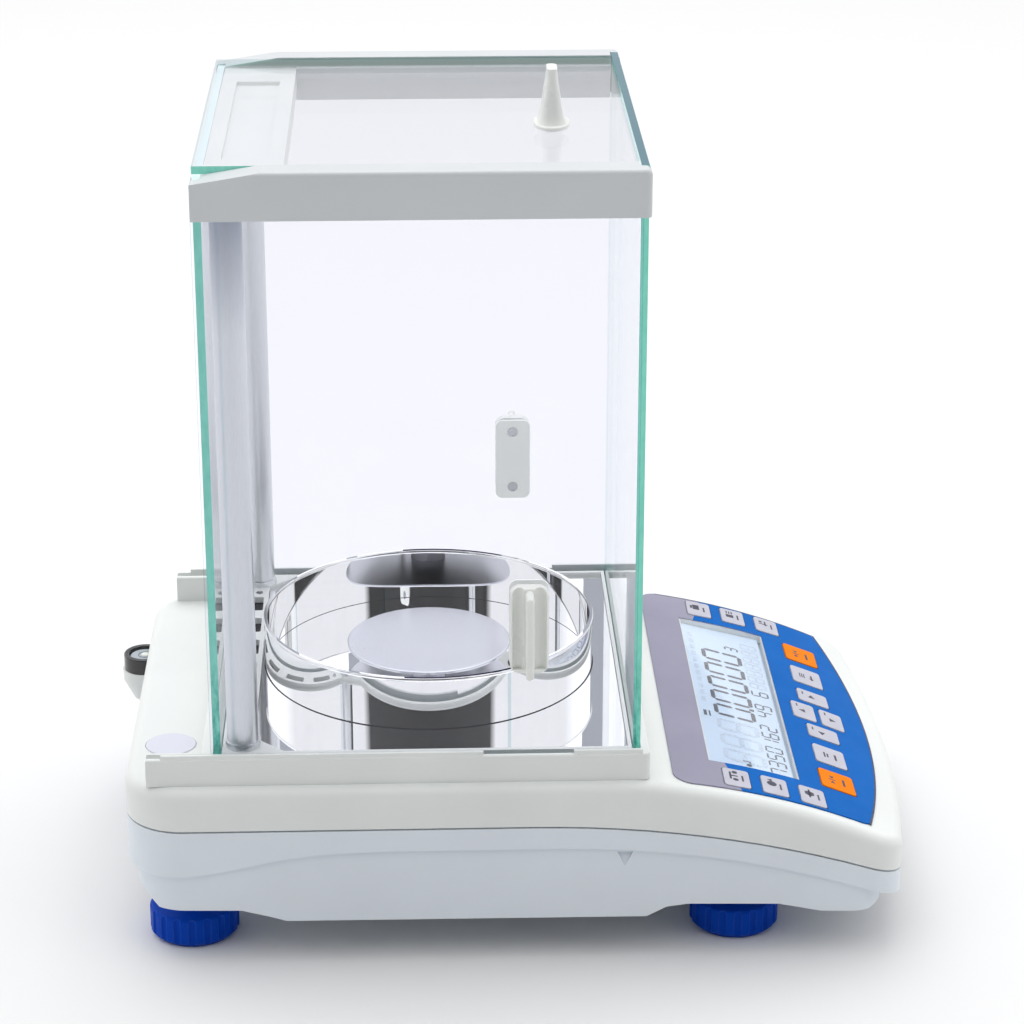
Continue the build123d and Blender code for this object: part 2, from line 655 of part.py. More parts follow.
def vent_strip():
    """Slotted strip between the posts."""
    strip = block((-74, 74), (POST_Y - STRIP_HALF, POST_Y + STRIP_HALF), (SILL_TOP - 2.5, SILL_TOP + 0.2))
    for i in range(6):
        x = (i - 2.5) * 23.5
        slot = extrude(RectangleRounded(15, 4.4, 1), amount=6)
        strip -= Pos(x, POST_Y, SILL_TOP - 4) * slot
    for x in (-71, 71):
        strip -= rod(x, POST_Y, SILL_TOP - 3, SILL_TOP + 1, 1.6)
    return strip


def vent_strip_screws():
    screws = []
    for x in (-71, 71):
        head = rod(x, POST_Y, SILL_TOP - 2.4, SILL_TOP + 0.5, 1.55)
        screws.append(head - block((x - 2, x + 2), (POST_Y - 0.25, POST_Y + 0.25), (SILL_TOP, SILL_TOP + 1)))
    return Compound(children=screws)


def floor_plate():
    plate = Pos(0, 0, FLOOR_Z - FLOOR_PLATE) * extrude(floor_outline(), amount=FLOOR_PLATE)
    return plate - rod(0, PAN_Y, FLOOR_Z - 3, FLOOR_Z + 3, 9)


def post(side):
    """Round upright between the plinth and the head."""
    body = rod(side * POST_X, POST_Y, SILL_TOP, RAIL_BOTTOM, POST_R)
    return body + rod(side * POST_X, POST_Y, SILL_TOP, SILL_TOP + 2.5, POST_R + 0.7)


def top_rail(side):
    """Side rail of the shield's top: door groove below, ledge for the top glass inside."""
    y_span = (RAIL_FRONT, RAIL_BACK)
    rail = block((-RAIL_HALF, -RAIL_INNER), y_span, (RAIL_BOTTOM, SHIELD_TOP))
    rail = fillet(rail.edges().filter_by(Axis.Y).group_by(Axis.Z)[-1].group_by(Axis.X)[0], 1.8)
    rail = fillet(rail.edges().filter_by(Axis.Z).group_by(Axis.Y)[0].group_by(Axis.X)[0], 2.5)
    ledge_span = (FRONT_PANE_Y + GROOVE / 2, REAR_PANE_Y - GROOVE / 2 - 30)
    rail += block((-RAIL_INNER, -RAIL_INNER + 4), ledge_span, (SHIELD_TOP - 8, TOP_GLASS_Z - 0.2))
    wedge = Polyline((91, SHIELD_TOP), (RAIL_BACK + 1, SHIELD_TOP - 4.4), (RAIL_BACK + 1, SHIELD_TOP + 2),
                     (91, SHIELD_TOP + 2), close=True)
    rail -= side_prism(wedge.edges())
    rail -= door_groove(RAIL_BOTTOM - 1, DOOR_TOP + 0.8, RAIL_BACK + 1)
    rail -= pane_groove(FRONT_PANE_Y, RAIL_BOTTOM - 1, SHIELD_TOP + 1)
    rail -= pane_groove(REAR_PANE_Y, RAIL_BOTTOM - 1, SHIELD_TOP + 1)
    return rail if side < 0 else mirror(rail, Plane.YZ)


def rear_head():
    """Cross-piece between the rails on top of the posts, hollow above, with a shallow recess."""
    y_span = (REAR_PANE_Y - GROOVE / 2 - 30, REAR_PANE_Y - GLASS / 2 - 0.3)
    head = block((-RAIL_INNER, RAIL_INNER), y_span, (RAIL_BOTTOM, TOP_GLASS_Z - 0.8))
    head = chamfer(head.edges().filter_by(Axis.X).group_by(Axis.Z)[0].group_by(Axis.Y)[0], 4)
    head -= block((-62, 62), (y_span[0] + 6, y_span[1] - 6), (TOP_GLASS_Z - 2.4, TOP_GLASS_Z))
    head -= block((-80, 80), (y_span[0] + 7, y_span[1] - 3), (RAIL_BOTTOM - 1, RAIL_BOTTOM + 9))
    for x in (-POST_X, POST_X):
        socket = rod(x, POST_Y, RAIL_BOTTOM, RAIL_BOTTOM + 9, POST_R)
        head += socket & block((-RAIL_INNER, RAIL_INNER), y_span, (RAIL_BOTTOM, SHIELD_TOP))
    return head


def pane(y, top):
    return block((-PANE_HALF, PANE_HALF), (y - GLASS / 2, y + GLASS / 2), (DOOR_BOTTOM, top))


def side_door_glass(side):
    x = side * DOOR_X
    return block((x - GLASS / 2, x + GLASS / 2), (DOOR_FRONT, DOOR_BACK), (DOOR_BOTTOM, DOOR_TOP))


def handle_sketch(wide, tall, corner):
    return RectangleRounded(wide, tall, corner)


def door_handle(side):
    """Moulded grip outside the door: a plate with a flute each side of a fin that stands out."""
    face_x = side * (DOOR_X + GLASS / 2)
    frame = Plane(origin=(face_x, HANDLE_Y, HANDLE_Z), x_dir=(0, 1, 0), z_dir=(side, 0, 0))
    body = extrude(handle_sketch(HANDLE_WIDE, HANDLE_TALL, 4.0), amount=HANDLE_THICK)
    body = fillet(body.edges().group_by(Axis.Z)[-1], 1.2)
    flute_r = 2.3
    for offset in (-HANDLE_WIDE / 4 - 0.6, HANDLE_WIDE / 4 + 0.6):
        flute = Pos(offset, -2.0, HANDLE_THICK + 0.3) * Rot(90, 0, 0) * Cylinder(flute_r, HANDLE_TALL)
        body -= flute
    fin = extrude(handle_sketch(HANDLE_FIN_WIDE, HANDLE_TALL - 1.5, 1.5), amount=HANDLE_FIN_OUT)
    fin = fillet(fin.edges().group_by(Axis.Z)[-1], 1.0)
    return frame * (body + fin)


def handle_plate(side):
    """Backing plate inside the door, with two holes for its screws."""
    inner_x = side * (DOOR_X - GLASS / 2)
    frame = Plane(origin=(inner_x, HANDLE_Y, HANDLE_Z), x_dir=(0, 1, 0), z_dir=(-side, 0, 0))
    plate = extrude(handle_sketch(HANDLE_PLATE_WIDE, HANDLE_PLATE_TALL, 3.2), amount=1.1)
    plate = fillet(plate.edges().group_by(Axis.Z)[-1], 0.4)
    for offset in (-HANDLE_SCREW, HANDLE_SCREW):
        plate -= Pos(0, offset, 0) * Cylinder(2.3, 8)
    return frame * plate


def handle_screws(side):
    inner_x = side * (DOOR_X - GLASS / 2)
    frame = Plane(origin=(inner_x, HANDLE_Y, HANDLE_Z), x_dir=(0, 1, 0), z_dir=(-side, 0, 0))
    head = extrude(Circle(2.25), amount=1.3) - Pos(0, 0, 0.9) * extrude(Rectangle(0.6, 3.2), amount=1)
    return Compound(children=[frame * (Pos(0, offset, 0) * head) for offset in (-HANDLE_SCREW, HANDLE_SCREW)])


def top_door_glass():
    return block((-TOP_GLASS_HALF, TOP_GLASS_HALF), (TOP_GLASS_FRONT, TOP_GLASS_BACK),
                 (TOP_GLASS_Z, TOP_GLASS_Z + GLASS))


def top_door_knob():
    """Oval foot that flares into a waisted, tapering fin."""
    foot_z = TOP_GLASS_Z + GLASS
    base = Pos(KNOB_X, KNOB_Y, foot_z) * extrude(Ellipse(12.0, 7.1), amount=1.6)
    base = fillet(base.edges().group_by(Axis.Z)[-1], 0.7)
    outlines = [(1.0, 20.5, 12.0, 5.0), (3.6, 17.5, 9.6, 4.2), (8.0, 15.5, 7.7, 3.3),
                (14.0, 13.5, 6.0, 2.6), (OVERALL_HEIGHT - foot_z, 10.5, 4.0, 1.8)]
    sections = [Pos(KNOB_X, KNOB_Y, foot_z + rise) * RectangleRounded(long, wide, corner)
                for rise, long, wide, corner in outlines]
    return base + loft(sections)


# ------------------------------------------------------------------ weighing chamber
def wind_ring():
    """Polished draught ring with a rolled rim."""
    outer = rod(0, PAN_Y, FLOOR_Z, RING_TOP, RING_R)
    ring = outer - rod(0, PAN_Y, FLOOR_Z - 1, RING_TOP + 1, RING_R - RING_WALL)
    bead = Pos(0, PAN_Y, RING_TOP - 0.9) * Torus(RING_R - RING_WALL / 2, 0.9)
    return ring + bead


def pan():
    """Flat pan with a hub that drops over the carrier."""
    disc = rod(0, PAN_Y, PAN_TOP - 1.2, PAN_TOP, PAN_R)
    disc = fillet(disc.edges().group_by(Axis.Z)[-1], 0.5)
    hub = rod(0, PAN_Y, FLOOR_Z + 1.5, PAN_TOP - 1.2, 7)
    return disc + hub - rod(0, PAN_Y, FLOOR_Z, CARRIER_TOP, CARRIER_R + 0.35)


def build_all():
    nodes = {
        "lower_shell": lower_shell(),
        "upper_shell": upper_shell(),
        "chassis_plate": chassis_plate(),
        "shell_screws": shell_screws(),
        "cover_cap": cover_cap(),
        "load_cell": load_cell(),
        "magnet_unit": magnet_unit(),
        "pan_carrier": pan_carrier(),
        "main_board": main_board(),
        "display_board": display_board(),
        "lcd_module": lcd_module(),
        "display_window": display_window(),
        "keypad_overlay": keypad_overlay(),
        "rear_connector_plate": rear_connector_plate(),
        "power_socket": power_socket(),
        "data_ports": data_ports(),
        "level_bracket": level_bracket(),
        "level_vial": level_vial(),
        "level_cap_ring": level_cap_ring(),
        "chamber_plinth": chamber_plinth(),
        "vent_strip": vent_strip(),
        "vent_strip_screws": vent_strip_screws(),
        "floor_plate": floor_plate(),
        "rear_head": rear_head(),
        "front_glass": pane(FRONT_PANE_Y, SHIELD_TOP),
        "rear_glass": pane(REAR_PANE_Y, TOP_GLASS_Z - 0.8),
        "top_door_glass": top_door_glass(),
        "top_door_knob": top_door_knob(),
        "wind_ring": wind_ring(),
        "pan": pan(),
    }
    for name, side in (("left", -1), ("right", 1)):
        nodes[f"{name}_post"] = post(side)
        nodes[f"{name}_top_rail"] = top_rail(side)
        nodes[f"{name}_door_glass"] = side_door_glass(side)
        nodes[f"{name}_door_handle"] = door_handle(side)
        nodes[f"{name}_handle_plate"] = handle_plate(side)
        nodes[f"{name}_handle_screws"] = handle_screws(side)
        nodes[f"foot_front_{name}"] = foot(side * FOOT_X, FOOT_FRONT_Y)
        nodes[f"foot_rear_{name}"] = foot(side * FOOT_X, FOOT_REAR_Y)
    for name, place in KEYS.items():
        nodes[name] = key(*place)
    return nodes


os.makedirs("parts", exist_ok=True)
for node_name, shape in build_all().items():
    export_step(shape, f"parts/{node_name}.step")
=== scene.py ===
import math
import bmesh
import bpy
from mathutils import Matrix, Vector


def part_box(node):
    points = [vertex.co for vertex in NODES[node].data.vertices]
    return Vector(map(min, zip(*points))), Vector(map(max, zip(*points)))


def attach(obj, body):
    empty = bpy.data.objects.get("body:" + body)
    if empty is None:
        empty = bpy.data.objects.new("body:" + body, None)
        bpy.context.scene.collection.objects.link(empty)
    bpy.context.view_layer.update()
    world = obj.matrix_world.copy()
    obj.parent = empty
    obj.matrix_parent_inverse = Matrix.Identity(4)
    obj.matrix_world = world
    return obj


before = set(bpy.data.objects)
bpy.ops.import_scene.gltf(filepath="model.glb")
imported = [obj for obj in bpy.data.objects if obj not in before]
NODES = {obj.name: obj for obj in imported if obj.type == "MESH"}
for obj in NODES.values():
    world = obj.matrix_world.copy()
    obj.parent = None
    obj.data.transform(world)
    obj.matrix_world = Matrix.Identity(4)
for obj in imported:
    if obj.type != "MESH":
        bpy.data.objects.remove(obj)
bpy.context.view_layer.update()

# Analytical balance with a glass draught shield. Metres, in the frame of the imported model:
# -Y is the operator's side, Z is up from the bench.
MM = 0.001

# Slope of the keypad: an arc about this centre, in the YZ plane
PANEL_RADIUS = 302.2 * MM
PANEL_CENTRE_Y = -25.4 * MM
PANEL_CENTRE_Z = -223.6 * MM
FILM_THICK = 0.5 * MM
KEY_TOP = 0.85 * MM          # height of a key's face above the slope
PRINT_THICK = 0.03 * MM

# ------------------------------------------------------------------ camera, light and stage
CAMERA_PLACE = Vector((-1.2048, 0.0362, 0.6276))
CAMERA_PITCH = math.radians(21.436)
CAMERA_YAW = math.radians(1.939)
CAMERA_LENS = 109.0
SOFTBOX_PLACE = (0.55, 0.1, 1.9)
SOFTBOX_TARGET = (0.0, 0.0, 0.1)
SOFTBOX_SIZE = (1.8, 1.8)
SOFTBOX_WATTS = 12.0


def make_camera():
    camera = bpy.data.cameras.new("camera")
    camera.lens = CAMERA_LENS
    camera.sensor_width = 36.0
    camera.clip_start = 0.05
    camera.clip_end = 100.0
    holder = bpy.data.objects.new("camera", camera)
    bpy.context.scene.collection.objects.link(holder)
    level = math.cos(CAMERA_PITCH)
    forward = Vector((level * math.cos(CAMERA_YAW), -level * math.sin(CAMERA_YAW), -math.sin(CAMERA_PITCH)))
    holder.location = CAMERA_PLACE
    holder.rotation_euler = forward.to_track_quat("-Z", "Y").to_euler()
    bpy.context.scene.camera = holder


def soft_light(name, place, target, size, power):
    lamp = bpy.data.lights.new(name, "AREA")
    lamp.shape = "RECTANGLE"
    lamp.size, lamp.size_y = size
    lamp.energy = power
    holder = bpy.data.objects.new(name, lamp)
    bpy.context.scene.collection.objects.link(holder)
    holder.location = place
    holder.rotation_euler = (Vector(target) - Vector(place)).to_track_quat("-Z", "Y").to_euler()
    return holder


def make_world():
    """White room, brighter overhead and high beyond the object, with a dark patch behind the camera."""
    world = bpy.data.worlds.new("studio")
    bpy.context.scene.world = world
    world.use_nodes = True
    tree = world.node_tree
    tree.nodes.clear()
    direction = add(tree, "ShaderNodeTexCoord").outputs["Generated"]
    parts = add(tree, "ShaderNodeSeparateXYZ", {"Vector": direction})
    across = map_range(tree, parts.outputs["X"], (-0.67, -0.62), (0.06, 1.0))
    upward = map_range(tree, parts.outputs["Z"], (0.4, 0.95), (0.0, 0.3))
    beyond = map_range(tree, parts.outputs["X"], (0.3, 0.6), (0.0, 1.0))
    band = map_range(tree, parts.outputs["Z"], (0.27, 0.34), (-0.16, 0.38))
    lift = math_node(tree, "MULTIPLY", beyond, band)
    total = math_node(tree, "ADD", math_node(tree, "ADD", across, upward), lift)
    seen = add(tree, "ShaderNodeLightPath").outputs["Is Camera Ray"]
    strength = add(tree, "ShaderNodeMix", {"Factor": seen, "A": total, "B": 1.0}).outputs["Result"]
    back = add(tree, "ShaderNodeBackground", {"Color": (1.0, 1.0, 1.0, 1.0), "Strength": strength})
    out = add(tree, "ShaderNodeOutputWorld")
    tree.links.new(back.outputs[0], out.inputs[0])


def make_stage():
    floor = plate_mesh("stage_floor", [(-30, -30, 0), (30, -30, 0), (30, 30, 0), (-30, 30, 0)])
    material = plain_material("stage_white", (0.785, 0.785, 0.79), 0.8)
    floor.data.materials.append(material)
    dark = plain_material("studio_flag", (0.002, 0.004, 0.045), 0.9)
    blue_grey = plain_material("studio_screen", (0.66, 0.69, 0.74), 0.9)
    # cards that only the polished steel and the glass mirror: name, material, span along Y
    cards = [
        ("flag", dark, (-0.147, 0.058)),
        ("screen_left", blue_grey, (0.25, 1.3)),
        ("screen_right", blue_grey, (-1.5, -0.27)),
        ("rib", blue_grey, (0.14, 0.16)),
    ]
    far, foot, head = 4.0, 1.55, 3.0
    for name, material, (low, high) in cards:
        corners = [(far, low, foot), (far, high, foot), (far, high, head), (far, low, head)]
        card = plate_mesh(f"studio_{name}", corners)
        card.data.materials.append(material)
        card.visible_camera = False
        card.visible_diffuse = False
        card.visible_shadow = False


# ------------------------------------------------------------------ node helpers
def add(tree, kind, inputs=None, **settings):
    """New shader node: settings are its properties, inputs are numbers, colours or sockets."""
    node = tree.nodes.new(kind)
    for key, value in settings.items():
        setattr(node, key, value)
    for key, value in (inputs or {}).items():
        socket = next(s for s in node.inputs if s.name == key and s.enabled)
        if isinstance(value, bpy.types.NodeSocket):
            tree.links.new(value, socket)
        else:
            socket.default_value = value
    return node


def math_node(tree, operation, first, second=0.0):
    node = tree.nodes.new("ShaderNodeMath")
    node.operation = operation
    for socket, value in zip(node.inputs, (first, second)):
        if isinstance(value, bpy.types.NodeSocket):
            tree.links.new(value, socket)
        else:
            socket.default_value = value
    return node.outputs[0]


def map_range(tree, value, source, target):
    node = add(tree, "ShaderNodeMapRange", {
        "Value": value, "From Min": source[0], "From Max": source[1],
        "To Min": target[0], "To Max": target[1]})
    return node.outputs[0]


def mix_colour(tree, factor, first, second):
    node = add(tree, "ShaderNodeMix", data_type="RGBA")
    names = {"Factor": factor, "A": first, "B": second}
    for key, value in names.items():
        socket = next(s for s in node.inputs if s.name == key and s.enabled)
        if isinstance(value, bpy.types.NodeSocket):
            tree.links.new(value, socket)
        elif key == "Factor":
            socket.default_value = value
        else:
            socket.default_value = (*value[:3], 1.0)
    return next(s for s in node.outputs if s.enabled)


def position(tree, stretch=(1.0, 1.0, 1.0)):
    """Place in the piece's own frame, stretched along the axes for streaks."""
    place = add(tree, "ShaderNodeTexCoord").outputs["Object"]
    if stretch == (1.0, 1.0, 1.0):
        return place
    scaled = add(tree, "ShaderNodeVectorMath", operation="MULTIPLY")
    tree.links.new(place, scaled.inputs[0])
    scaled.inputs[1].default_value = stretch
    return scaled.outputs[0]


def noise(tree, place, scale, detail=3.0, roughness=0.5):
    node = add(tree, "ShaderNodeTexNoise", {
        "Vector": place, "Scale": scale, "Detail": detail, "Roughness": roughness})
    return node.outputs[0]


def edge_mask(tree, radius, amount):
    """1 on outer edges, broken up by noise, 0 on the faces: worn edges, and painted shade where it darkens the
    keypad film and keys.
    """
    rounded = add(tree, "ShaderNodeBevel", {"Radius": radius}, samples=4).outputs[0]
    flat = add(tree, "ShaderNodeNewGeometry").outputs["Normal"]
    turn = add(tree, "ShaderNodeVectorMath", operation="DOT_PRODUCT")
    tree.links.new(rounded, turn.inputs[0])
    tree.links.new(flat, turn.inputs[1])
    edge = map_range(tree, turn.outputs["Value"], (0.99, 0.80), (0.0, amount))
    patches = map_range(tree, noise(tree, position(tree), 160.0), (0.35, 0.6), (0.35, 1.0))
    return math_node(tree, "MULTIPLY", edge, patches)


def tint(colour, factor):
    return tuple(min(max(c * factor, 0.0), 1.0) for c in colour)


def new_tree(name):
    material = bpy.data.materials.new(name)
    material.use_nodes = True
    material.node_tree.nodes.clear()
    return material, material.node_tree


def finish_surface(tree, shader):
    out = add(tree, "ShaderNodeOutputMaterial")
    tree.links.new(shader, out.inputs["Surface"])


def plain_material(name, colour, roughness):
    material, tree = new_tree(name)
    shader = add(tree, "ShaderNodeBsdfPrincipled", {
        "Base Color": (*colour, 1.0), "Roughness": roughness, "Specular IOR Level": 0.0})
    finish_surface(tree, shader.outputs[0])
    return material


# ------------------------------------------------------------------ materials
def bump(tree, height, strength, distance):
    node = add(tree, "ShaderNodeBump", {"Height": height, "Strength": strength, "Distance": distance})
    return node.outputs[0]


def plastic(name, colour, roughness=0.45, grain=1600.0, relief=0.12, mottle=0.025, wear=0.35,
            coat=0.0, specular=0.5, glow=0.0):
    """Moulded plastic: fine spark-eroded grain, faint mottling, paler and smoother worn edges."""
    material, tree = new_tree(name)
    place = position(tree)
    clouds = map_range(tree, noise(tree, place, 22.0, 4.0), (0.3, 0.7), (0.0, 1.0))
    face = mix_colour(tree, clouds, tint(colour, 1 - mottle), tint(colour, 1 + mottle))
    rub = edge_mask(tree, 0.9 * MM, wear)
    pale = tuple(1 - (1 - c) * 0.6 for c in colour)
    face = mix_colour(tree, rub, face, pale)
    rough = map_range(tree, noise(tree, place, 60.0, 5.0), (0.3, 0.7), (roughness - 0.06, roughness + 0.06))
    rough = math_node(tree, "SUBTRACT", rough, math_node(tree, "MULTIPLY", rub, 0.2))
    grit = noise(tree, place, grain, 2.0)
    # glow makes the face emit light in its own colour: painted light wherever it is set above zero
    shader = add(tree, "ShaderNodeBsdfPrincipled", {
        "Base Color": face, "Roughness": rough, "Normal": bump(tree, grit, relief, 0.08 * MM),
        "Specular IOR Level": specular, "Coat Weight": coat, "Coat Roughness": 0.12,
        "Emission Color": face, "Emission Strength": glow})
    finish_surface(tree, shader.outputs[0])
    return material


def metal(name, colour, roughness, streak=(1.0, 1.0, 1.0), scale=900.0, relief=0.05, spread=0.04, smudge=0.03,
          head_shade_span=None):
    """Metal with a lay of fine streaks, faint smudges and brighter edges.

    head_shade_span is a span of height over which the metal is painted darker upwards: painted shade and
    painted reflection of the head above."""
    material, tree = new_tree(name)
    lay = noise(tree, position(tree, streak), scale, 4.0, 0.65)
    film = map_range(tree, noise(tree, position(tree), 35.0, 4.0), (0.35, 0.75), (0.0, smudge))
    streaks = map_range(tree, lay, (0.3, 0.7), (roughness - spread, roughness + spread))
    rough = math_node(tree, "ADD", streaks, film)
    shade = map_range(tree, lay, (0.3, 0.7), (0.0, 1.0))
    face = mix_colour(tree, shade, tint(colour, 0.95), tint(colour, 1.04))
    face = mix_colour(tree, edge_mask(tree, 0.5 * MM, 0.5), face, tint(colour, 1.15))
    # painted shade and painted reflection of the head: the metal darkens upwards over these heights
    if head_shade_span:
        height = add(tree, "ShaderNodeSeparateXYZ", {"Vector": position(tree)}).outputs["Z"]
        face = mix_colour(tree, map_range(tree, height, head_shade_span, (0.0, 0.62)), face, (0.16, 0.19, 0.27))
    shader = add(tree, "ShaderNodeBsdfPrincipled", {
        "Base Color": face, "Metallic": 1.0, "Roughness": rough,
        "Normal": bump(tree, lay, relief, 0.02 * MM)})
    finish_surface(tree, shader.outputs[0])
    return material


def mirror_steel():
    """Polished stainless steel: crisp reflections, a trace of wiping marks."""
    material, tree = new_tree("mirror_steel")
    wipes = noise(tree, position(tree, (1.0, 6.0, 1.0)), 40.0, 5.0, 0.6)
    rough = map_range(tree, wipes, (0.45, 0.8), (0.004, 0.022))
    shade = map_range(tree, wipes, (0.3, 0.7), (0.0, 1.0))
    face = mix_colour(tree, shade, (0.945, 0.948, 0.95), (0.975, 0.977, 0.978))
    shader = add(tree, "ShaderNodeBsdfPrincipled", {
        "Base Color": face, "Metallic": 1.0, "Roughness": rough,
        "Normal": bump(tree, wipes, 0.02, 0.02 * MM)})
    finish_surface(tree, shader.outputs[0])
    return material


def shield_glass(name, thin_axis, painted_top_edge=(0.02, 0.11, 0.15)):
    """Clear float glass: nearly colourless through its faces, sea green along its cut edges.

    painted_top_edge is the colour painted on an upright pane's upward-facing top edge, set apart from its other
    edges by the way it faces: painted light and shade."""
    material, tree = new_tree(name)
    geometry = add(tree, "ShaderNodeNewGeometry")
    normal = add(tree, "ShaderNodeSeparateXYZ", {"Vector": geometry.outputs["True Normal"]})
    on_face = math_node(tree, "GREATER_THAN", math_node(tree, "ABSOLUTE", normal.outputs[thin_axis]), 0.7)

    graze = add(tree, "ShaderNodeLayerWeight", {"Blend": 0.5}).outputs["Facing"]
    mirror = map_range(tree, math_node(tree, "POWER", graze, 5.0), (0.0, 1.0), (0.006, 0.9))
    smears = map_range(tree, noise(tree, position(tree), 30.0, 4.0), (0.45, 0.8), (0.0, 0.05))
    clear = add(tree, "ShaderNodeBsdfTransparent", {"Color": (0.965, 0.967, 0.982, 1.0)})
    gloss = add(tree, "ShaderNodeBsdfGlossy", {"Color": (1.0, 1.0, 1.0, 1.0), "Roughness": smears})
    pane = add(tree, "ShaderNodeMixShader")
    tree.links.new(mirror, pane.inputs[0])
    tree.links.new(clear.outputs[0], pane.inputs[1])
    tree.links.new(gloss.outputs[0], pane.inputs[2])

    height = add(tree, "ShaderNodeSeparateXYZ", {"Vector": position(tree)}).outputs["Z"]
    contrast = map_range(tree, height, (0.135, 0.100), (0.18, 1.0))
    veins = noise(tree, position(tree, (1.0, 1.0, 0.35)), 420.0, 4.0, 0.6)
    marble = map_range(tree, veins, (0.35, 0.65), (0.0, 1.0))
    swirl = math_node(tree, "MULTIPLY", marble, contrast)
    green = mix_colour(tree, swirl, (0.22, 0.63, 0.52), (0.025, 0.33, 0.27))
    # upward-facing cut edges get their own colour by the way they face: painted light and shade
    upward = math_node(tree, "GREATER_THAN", normal.outputs["Z"], 0.7)
    if thin_axis != "Z":
        green = mix_colour(tree, upward, green, painted_top_edge)
    # the cut edges emit a little of their green: painted light
    lit = add(tree, "ShaderNodeBsdfPrincipled", {
        "Base Color": green, "Roughness": 0.18, "Emission Color": green, "Emission Strength": 0.22})
    inside = add(tree, "ShaderNodeBsdfTransparent", {"Color": (0.70, 0.80, 0.82, 1.0)})
    cut = add(tree, "ShaderNodeMixShader", {"Fac": geometry.outputs["Backfacing"]})
    tree.links.new(lit.outputs[0], cut.inputs[1])
    tree.links.new(inside.outputs[0], cut.inputs[2])
    whole = add(tree, "ShaderNodeMixShader")
    tree.links.new(on_face, whole.inputs[0])
    tree.links.new(cut.outputs[0], whole.inputs[1])
    tree.links.new(pane.outputs[0], whole.inputs[2])
    finish_surface(tree, whole.outputs[0])
    return material


def window_glass():
    """Thin clear lens over the display."""
    material, tree = new_tree("clear_window")
    graze = add(tree, "ShaderNodeLayerWeight", {"Blend": 0.5}).outputs["Facing"]
    mirror = map_range(tree, math_node(tree, "POWER", graze, 5.0), (0.0, 1.0), (0.03, 0.8))
    smears = map_range(tree, noise(tree, position(tree), 60.0, 4.0), (0.45, 0.8), (0.04, 0.14))
    clear = add(tree, "ShaderNodeBsdfTransparent", {"Color": (0.985, 0.99, 1.0, 1.0)})
    gloss = add(tree, "ShaderNodeBsdfGlossy", {"Color": (1.0, 1.0, 1.0, 1.0), "Roughness": smears})
    pane = add(tree, "ShaderNodeMixShader")
    tree.links.new(mirror, pane.inputs[0])
    tree.links.new(clear.outputs[0], pane.inputs[1])
    tree.links.new(gloss.outputs[0], pane.inputs[2])
    finish_surface(tree, pane.outputs[0])
    return material


def vial_glass():
    """Spirit level: pale blue-grey liquid behind clear glass."""
    material, tree = new_tree("vial_glass")
    shade = map_range(tree, noise(tree, position(tree), 300.0), (0.3, 0.7), (0.0, 1.0))
    face = mix_colour(tree, shade, (0.42, 0.47, 0.52), (0.50, 0.55, 0.60))
    shader = add(tree, "ShaderNodeBsdfPrincipled", {
        "Base Color": face, "Roughness": 0.08, "Coat Weight": 1.0, "Coat Roughness": 0.03})
    finish_surface(tree, shader.outputs[0])
    return material


def overlay_film():
    """Printed polyester film: lavender grey behind and beside the display, blue in front."""
    material, tree = new_tree("overlay_film")
    place = position(tree)
    parts = add(tree, "ShaderNodeSeparateXYZ", {"Vector": place})
    off_axis = math_node(tree, "ABSOLUTE", parts.outputs["X"])
    border = map_range(tree, off_axis, (0.0685, 0.097), (-0.0875, -0.0935))
    behind = math_node(tree, "GREATER_THAN", parts.outputs["Y"], border)
    weave = map_range(tree, noise(tree, place, 30.0, 4.0), (0.3, 0.7), (0.0, 1.0))
    blue = mix_colour(tree, weave, (0.002, 0.115, 0.44), (0.004, 0.130, 0.49))
    grey = mix_colour(tree, weave, (0.305, 0.295, 0.38), (0.33, 0.32, 0.41))
    face = mix_colour(tree, behind, blue, grey)
    # the film is darkened to navy along its edges: painted shade
    face = mix_colour(tree, edge_mask(tree, 0.4 * MM, 0.6), face, (0.01, 0.02, 0.10))
    grit = noise(tree, place, 2600.0, 2.0)
    rough = map_range(tree, noise(tree, place, 90.0, 4.0), (0.3, 0.7), (0.30, 0.42))
    shader = add(tree, "ShaderNodeBsdfPrincipled", {
        "Base Color": face, "Roughness": rough, "Specular IOR Level": 0.02,
        "Normal": bump(tree, grit, 0.08, 0.03 * MM)})
    finish_surface(tree, shader.outputs[0])
    return material


def key_film(name, colour):
    """Embossed key under the same film, darkened along its edges: painted shade of the emboss."""
    material, tree = new_tree(name)
    place = position(tree)
    clouds = map_range(tree, noise(tree, place, 120.0, 3.0), (0.3, 0.7), (0.0, 1.0))
    face = mix_colour(tree, clouds, tint(colour, 0.96), tint(colour, 1.03))
    # darkened along the key's edges: painted shade of the emboss
    face = mix_colour(tree, edge_mask(tree, 0.45 * MM, 0.9), face, tint(colour, 0.25))
    rough = map_range(tree, noise(tree, place, 90.0, 4.0), (0.3, 0.7), (0.30, 0.42))
    grit = noise(tree, place, 2600.0, 2.0)
    shader = add(tree, "ShaderNodeBsdfPrincipled", {
        "Base Color": face, "Roughness": rough, "Specular IOR Level": 0.02,
        "Normal": bump(tree, grit, 0.08, 0.03 * MM)})
    finish_surface(tree, shader.outputs[0])
    return material


def display_face():
    """Backlit liquid crystal: pale blue field with a slightly uneven glow."""
    material, tree = new_tree("display_glass")
    place = position(tree)
    glow = map_range(tree, noise(tree, place, 26.0, 3.0), (0.3, 0.7), (0.0, 1.0))
    field = mix_colour(tree, glow, (0.50, 0.62, 0.76), (0.55, 0.67, 0.81))
    shader = add(tree, "ShaderNodeBsdfPrincipled", {
        "Base Color": field, "Roughness": 0.3, "Emission Color": field, "Emission Strength": 0.15})
    finish_surface(tree, shader.outputs[0])
    return material


